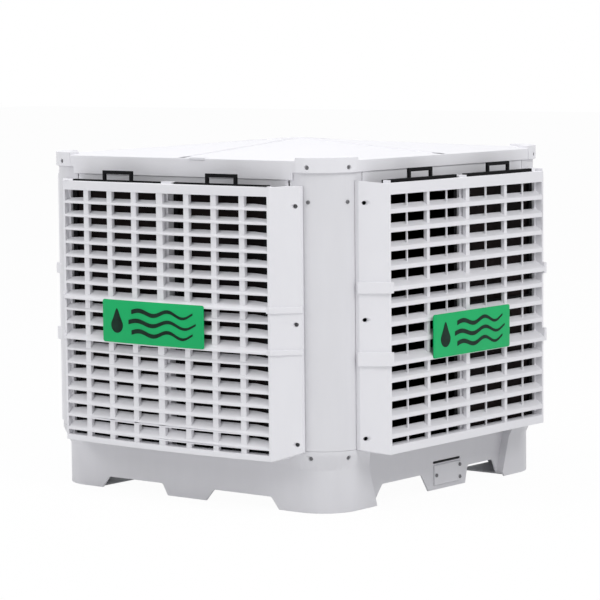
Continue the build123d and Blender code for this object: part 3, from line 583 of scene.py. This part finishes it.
def wave_line(name, length, height, x, z, thick):
    """A wavy stroke of the sign, thinning to its right-hand end."""
    clear_selection()
    bpy.ops.mesh.primitive_grid_add(x_subdivisions=36, y_subdivisions=1, size=1.0)
    piece = added(name)
    piece.scale = (length, 1.0, 1.0)
    apply_place(piece)
    for vertex in piece.data.vertices:
        share = vertex.co.x / length + 0.5
        taper = 1.0 - 0.55 * share ** 2
        swing = height * 0.75 * math.sin(share * 4.2 * math.pi) * (0.5 + 0.5 * share)
        vertex.co = Vector((vertex.co.x + x, 0.0, z + swing + vertex.co.y * height * taper))
    thicken(piece, thick)
    return piece


def drop_sign(name, radius, x, z, thick):
    """A water drop: a circle whose upper part is drawn to a point."""
    clear_selection()
    bpy.ops.mesh.primitive_circle_add(vertices=40, radius=radius, fill_type="NGON")
    piece = added(name)
    for vertex in piece.data.vertices:
        up = max(0.0, vertex.co.y / radius)
        narrow = 1.0 - 0.35 * up ** 2
        vertex.co = Vector((vertex.co.x * narrow + x, 0.0, z - radius * 0.45 + vertex.co.y * (1.0 + 1.05 * up ** 3)))
    thicken(piece, thick)
    return piece


def thicken(piece, thick):
    """Gives a flat sign its thickness towards -Y."""
    edit(piece)
    bpy.ops.mesh.normals_make_consistent(inside=False)
    bpy.ops.mesh.extrude_region_move(TRANSFORM_OT_translate={"value": (0.0, -thick, 0.0)})
    bpy.ops.mesh.select_all(action="SELECT")
    bpy.ops.mesh.normals_make_consistent(inside=False)
    done()


class COOLER_OT_name_plates(CoolerOperator):
    """Green plates with a plain water and air sign"""
    bl_idname = "cooler.name_plates"
    bl_label = "Name plates"
    thickness = 0.003

    def blank(self, name, low, high, look):
        """Plate with round corners, flat in X and Z, its face at y = 0."""
        clear_selection()
        bpy.ops.mesh.primitive_plane_add(size=1.0)
        piece = added(name)
        piece.scale = (high.x - low.x, high.z - low.z, 1.0)
        apply_place(piece)
        edit(piece)
        bpy.ops.mesh.bevel(offset=look.plate_corner, segments=5, affect="VERTICES")
        done()
        piece.data.transform(Matrix.Translation(((low.x + high.x) / 2, 0.0, (low.z + high.z) / 2))
                             @ Matrix.Rotation(math.radians(90), 4, "X"))
        steps = 20
        for step in range(1, steps):
            x = low.x + (high.x - low.x) * step / steps
            edit(piece)
            bpy.ops.mesh.bisect(plane_co=(x, 0.0, 0.0), plane_no=(1.0, 0.0, 0.0))
            done()
        edit(piece)
        bpy.ops.mesh.normals_make_consistent(inside=False)
        bpy.ops.mesh.extrude_region_move(TRANSFORM_OT_translate={"value": (0.0, self.thickness, 0.0)})
        bpy.ops.mesh.select_all(action="SELECT")
        bpy.ops.mesh.normals_make_consistent(inside=False)
        done()
        return piece

    def sign(self, name, low, high, look):
        """A drop and three air waves, spread over the plate."""
        width, height = high.x - low.x, high.z - low.z
        middle = (low.z + high.z) / 2
        strokes = [drop_sign("drop", height * 0.19, low.x + width * 0.15, middle, look.ink_rise)]
        for row, share in enumerate((0.6, 0.66, 0.6)):
            z = middle + height * 0.24 * (1 - row)
            strokes.append(wave_line("wave", width * share, height * 0.105, low.x + width * 0.6, z, look.ink_rise))
        clear_selection()
        for stroke in strokes:
            stroke.select_set(True)
        bpy.context.view_layer.objects.active = strokes[0]
        bpy.ops.object.join()
        return added(name)

    def build(self, look):
        for first, second in (("front", "back"), ("right", "left")):
            node = "name_plate_" + first
            low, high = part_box(node)
            if first == "right":
                back = Matrix.Rotation(math.radians(-90), 4, "Z")
                corners = [back @ low, back @ high]
                low = Vector(map(min, *corners))
                high = Vector(map(max, *corners))
                radius = 0.0
            else:
                radius = bow_radius(node, self.thickness)
            plate = self.blank("plate_model", low, high, look)
            ink = self.sign("sign_model", low, high, look)
            lay_on(plate, radius, -low.y)
            lay_on(ink, radius, -low.y)
            round_edges(plate, 0.0005)
            for side in (first, second):
                name = "name_plate_" + side
                turn = SIDES[side]
                face = turned_copy(plate, name + "_face", turn)
                smooth(face)
                stand_for(face, name)
                sign = turned_copy(ink, name + "_sign", turn)
                smooth(sign)
                paint(sign, "plate_ink")
                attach(sign, frame["nodes"][name]["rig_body"])
            for model in (plate, ink):
                bpy.data.objects.remove(model)


class COOLER_OT_cooling_pads(CoolerOperator):
    """Fluted cellulose pads behind the filters"""
    bl_idname = "cooler.cooling_pads"
    bl_label = "Cooling pads"

    def build(self, look):
        low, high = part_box("cooling_pad_front")
        width, height, deep = high.x - low.x, high.z - low.z, high.y - low.y
        columns = int(width / look.flute_pitch * 4)
        rows = int(height / look.flute_pitch * 2)
        clear_selection()
        bpy.ops.mesh.primitive_grid_add(x_subdivisions=columns, y_subdivisions=rows, size=1.0)
        model = added("pad_model")
        model.scale = (width, height, 1.0)
        apply_place(model)
        for vertex in model.data.vertices:
            x, z = vertex.co.x, vertex.co.y
            lean = 0.35 * look.flute_pitch * math.sin(z * math.pi / look.flute_pitch)
            fold = 0.5 + 0.5 * math.cos((x + lean) * 2 * math.pi / look.flute_pitch)
            vertex.co = Vector((x, look.flute_depth * fold, z + (low.z + high.z) / 2))
        edit(model)
        bpy.ops.mesh.extrude_region_move(TRANSFORM_OT_translate={"value": (0.0, deep - look.flute_depth, 0.0)})
        bpy.ops.mesh.select_all(action="SELECT")
        bpy.ops.mesh.normals_make_consistent(inside=False)
        done()
        model.data.transform(Matrix.Translation((0.0, low.y, 0.0)))
        for side, turn in SIDES.items():
            pad = turned_copy(model, "cooling_pad_" + side + "_fluted", turn)
            smooth(pad, 60.0)
            stand_for(pad, "cooling_pad_" + side)
        bpy.data.objects.remove(model)


class COOLER_OT_water(CoolerOperator):
    """Distributor, pipes, pump, float valve and drain"""
    bl_idname = "cooler.water"
    bl_label = "Water side"

    def build(self, look):
        for node in ("distributor_tray", "pump_body", "pump_strainer", "drain_lever", "drain_valve_body",
                     "float_valve_body"):
            softened(node, 0.0006)
        keep_nodes("water_ring_pipe", "riser_pipe", "pump_impeller", "float_arm", "float_ball")


class COOLER_OT_fan(CoolerOperator):
    """Fan, motor, bracket and outlet duct"""
    bl_idname = "cooler.fan"
    bl_label = "Fan and outlet"

    def build(self, look):
        for node in ("fan_hub", "fan_blades", "motor_bracket", "motor_housing", "outlet_flange", "fan_shroud"):
            softened(node, 0.0008)
        keep_nodes("motor_shaft", "motor_bolts")


class COOLER_OT_control_box(CoolerOperator):
    """Terminal box with its lid and gland"""
    bl_idname = "cooler.control_box"
    bl_label = "Control box"

    def build(self, look):
        softened("control_box", 0.0012)
        softened("control_box_lid", 0.0015)
        softened("cable_gland", 0.0006)


class COOLER_OT_screws(CoolerOperator):
    """Pan-head cross-recess screws"""
    bl_idname = "cooler.screws"
    bl_label = "Screws"
    head_radius = 0.0048
    head_height = 0.0032
    shank_radius = 0.0021

    def head(self):
        """A screw head on z = 0 with its cross recess; the shank below, one unit (1 mm) long, is made by shank()."""
        clear_selection()
        bpy.ops.mesh.primitive_cylinder_add(vertices=24, radius=self.head_radius, depth=self.head_height,
                                            location=(0.0, 0.0, self.head_height / 2))
        head = added("screw_model")
        apply_place(head)
        edit(head)
        bpy.ops.mesh.select_all(action="DESELECT")
        done()
        for edge in head.data.edges:
            edge.select = all(head.data.vertices[i].co.z > self.head_height * 0.9 for i in edge.vertices)
        only(head)
        bpy.ops.object.mode_set(mode="EDIT")
        bpy.ops.mesh.bevel(offset=0.0013, segments=3, affect="EDGES")
        done()
        for turn in (0.0, 90.0):
            clear_selection()
            bpy.ops.mesh.primitive_cube_add(size=1.0, location=(0.0, 0.0, self.head_height),
                                            rotation=(0.0, 0.0, math.radians(turn)))
            bar = added("recess")
            bar.scale = (0.0052, 0.0011, 0.0028)
            apply_place(bar)
            only(head)
            cut = head.modifiers.new("recess", "BOOLEAN")
            cut.operation = "DIFFERENCE"
            cut.solver = "EXACT"
            cut.object = bar
            bpy.ops.object.modifier_apply(modifier=cut.name)
            bpy.data.objects.remove(bar)
        return head

    def shank(self):
        clear_selection()
        bpy.ops.mesh.primitive_cylinder_add(vertices=12, radius=self.shank_radius, depth=0.001,
                                            location=(0.0, 0.0, -0.0005))
        shank = added("shank_model")
        apply_place(shank)
        return shank

    def islands(self, mesh):
        """Groups of vertex places that are joined by edges, after merging by place."""
        key_of, parent = {}, {}

        def root(key):
            while parent[key] != key:
                parent[key] = parent[parent[key]]
                key = parent[key]
            return key
        for vertex in mesh.vertices:
            key = tuple(round(part, 5) for part in vertex.co)
            key_of[vertex.index] = key
            parent.setdefault(key, key)
        for edge in mesh.edges:
            first, second = (root(key_of[i]) for i in edge.vertices)
            parent[first] = second
        groups = {}
        for key in parent:
            groups.setdefault(root(key), []).append(Vector(key))
        return list(groups.values())

    def way_out(self, node, centre, round_centre):
        """The way a screw's head points, from where the screw is."""
        if node == "corner_screws":
            middle = Vector((math.copysign(round_centre, centre.x), math.copysign(round_centre, centre.y), centre.z))
            return (centre - middle).normalized()
        if abs(centre.x) > abs(centre.y):
            return Vector((math.copysign(1.0, centre.x), 0.0, 0.0))
        return Vector((0.0, math.copysign(1.0, centre.y), 0.0))

    def build(self, look):
        head, shank = self.head(), self.shank()
        round_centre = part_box("corner_post_front_right")[0].x + 0.022
        for node in ("corner_screws", "panel_screws", "plate_screws"):
            pieces = []
            for points in self.islands(frame["nodes"][node].data):
                centre = Vector([(min(p[i] for p in points) + max(p[i] for p in points)) / 2 for i in range(3)])
                way = self.way_out(node, centre, round_centre)
                ends = [(p - centre).dot(way) for p in points]
                seat = max(ends) - self.head_height
                length = seat - min(ends)
                turn = way.to_track_quat("Z", "Y").to_matrix().to_4x4()
                twist = Matrix.Rotation(len(pieces) * 0.9, 4, "Z")
                place = Matrix.Translation(centre + way * seat) @ turn @ twist
                for model, stretch in ((head, 1.0), (shank, length / 0.001)):
                    copy = bpy.data.objects.new("screw", model.data.copy())
                    bpy.context.scene.collection.objects.link(copy)
                    copy.data.transform(place @ Matrix.Diagonal((1.0, 1.0, stretch, 1.0)))
                    pieces.append(copy)
            clear_selection()
            for piece in pieces:
                piece.select_set(True)
            bpy.context.view_layer.objects.active = pieces[0]
            bpy.ops.object.join()
            screws = added(node + "_cross")
            smooth(screws)
            stand_for(screws, node, finish="coated_screw" if node == "panel_screws" else None)
        for model in (head, shank):
            bpy.data.objects.remove(model)


class COOLER_OT_stage(Operator):
    """Floor, lamps, world and camera"""
    bl_idname = "cooler.stage"
    bl_label = "Stage"
    bl_options = {"REGISTER", "UNDO"}

    def lamp(self, name, place, aim, size, power):
        clear_selection()
        bpy.ops.object.light_add(type="AREA", location=place)
        lamp = bpy.context.object
        lamp.name = name
        lamp.data.shape = "DISK"
        lamp.data.size = size
        lamp.data.energy = power
        lamp.rotation_euler = (Vector(aim) - Vector(place)).to_track_quat("-Z", "Y").to_euler()

    def camera(self, context, lens):
        """A camera turned by yaw and pitch, and tilted a little by roll."""
        place, yaw, pitch, roll = (4.4224, -5.5792, 1.1567), 0.670, -0.0964, -0.0096
        ahead = Vector((-math.sin(yaw) * math.cos(pitch), math.cos(yaw) * math.cos(pitch), math.sin(pitch)))
        right = ahead.cross(Vector((0.0, 0.0, 1.0))).normalized()
        up = right.cross(ahead)
        tilt_right = right * math.cos(roll) + up * math.sin(roll)
        tilt_up = up * math.cos(roll) - right * math.sin(roll)
        camera = bpy.data.objects.new("camera", bpy.data.cameras.new("camera"))
        context.scene.collection.objects.link(camera)
        camera.data.lens = lens
        camera.data.sensor_width = 36.0
        camera.matrix_world = Matrix.Translation(place) @ Matrix((tilt_right, tilt_up, -ahead)).transposed().to_4x4()
        context.scene.camera = camera

    def execute(self, context):
        studio = context.scene.studio_look
        clear_selection()
        bpy.ops.mesh.primitive_plane_add(size=60.0, location=(0.0, 0.0, 0.0))
        floor = added("floor")
        apply_place(floor)
        floor.data.materials.append(studio_floor("studio_floor", studio.floor_colour, studio.floor_glow))
        context.scene.world = studio_sky("studio_sky", studio.sky)
        self.lamp("key_lamp", (4.5, -1.2, 4.6), (0.0, 0.0, 0.45), 3.2, studio.key_power)
        self.lamp("top_lamp", (-0.6, -0.6, 5.0), (0.0, 0.0, 0.9), 3.0, studio.top_power)
        self.lamp("fill_lamp", (-3.0, -5.5, 4.4), (0.0, 0.0, 0.5), 3.0, studio.fill_power)
        self.camera(context, studio.lens)
        context.scene.view_settings.view_transform = "Standard"
        return {"FINISHED"}


class COOLER_PT_panel(Panel):
    """Sidebar panel with the cooler's sizes and steps"""
    bl_idname = "COOLER_PT_panel"
    bl_label = "Evaporative cooler"
    bl_space_type = "VIEW_3D"
    bl_region_type = "UI"
    bl_category = "Cooler"

    def draw(self, context):
        for look, group in ((context.scene.cooler_look, CoolerLook), (context.scene.studio_look, StudioLook)):
            for name in group.__annotations__:
                self.layout.prop(look, name)
        for step in STEPS:
            self.layout.operator(step.bl_idname)


STEPS = (COOLER_OT_finishes, COOLER_OT_shell, COOLER_OT_louvres, COOLER_OT_filters, COOLER_OT_name_plates,
         COOLER_OT_cooling_pads, COOLER_OT_water, COOLER_OT_fan, COOLER_OT_control_box, COOLER_OT_screws,
         COOLER_OT_stage)
CLASSES = (CoolerLook, StudioLook, *STEPS, COOLER_PT_panel)


def register():
    for kind in CLASSES:
        bpy.utils.register_class(kind)
    bpy.types.Scene.cooler_look = PointerProperty(type=CoolerLook)
    bpy.types.Scene.studio_look = PointerProperty(type=StudioLook)


def unregister():
    del bpy.types.Scene.studio_look
    del bpy.types.Scene.cooler_look
    for kind in reversed(CLASSES):
        bpy.utils.unregister_class(kind)


def main():
    register()
    for step in STEPS:
        family, name = step.bl_idname.split(".")
        getattr(getattr(bpy.ops, family), name)()
    clear_selection()


if __name__ == "__main__":
    main()
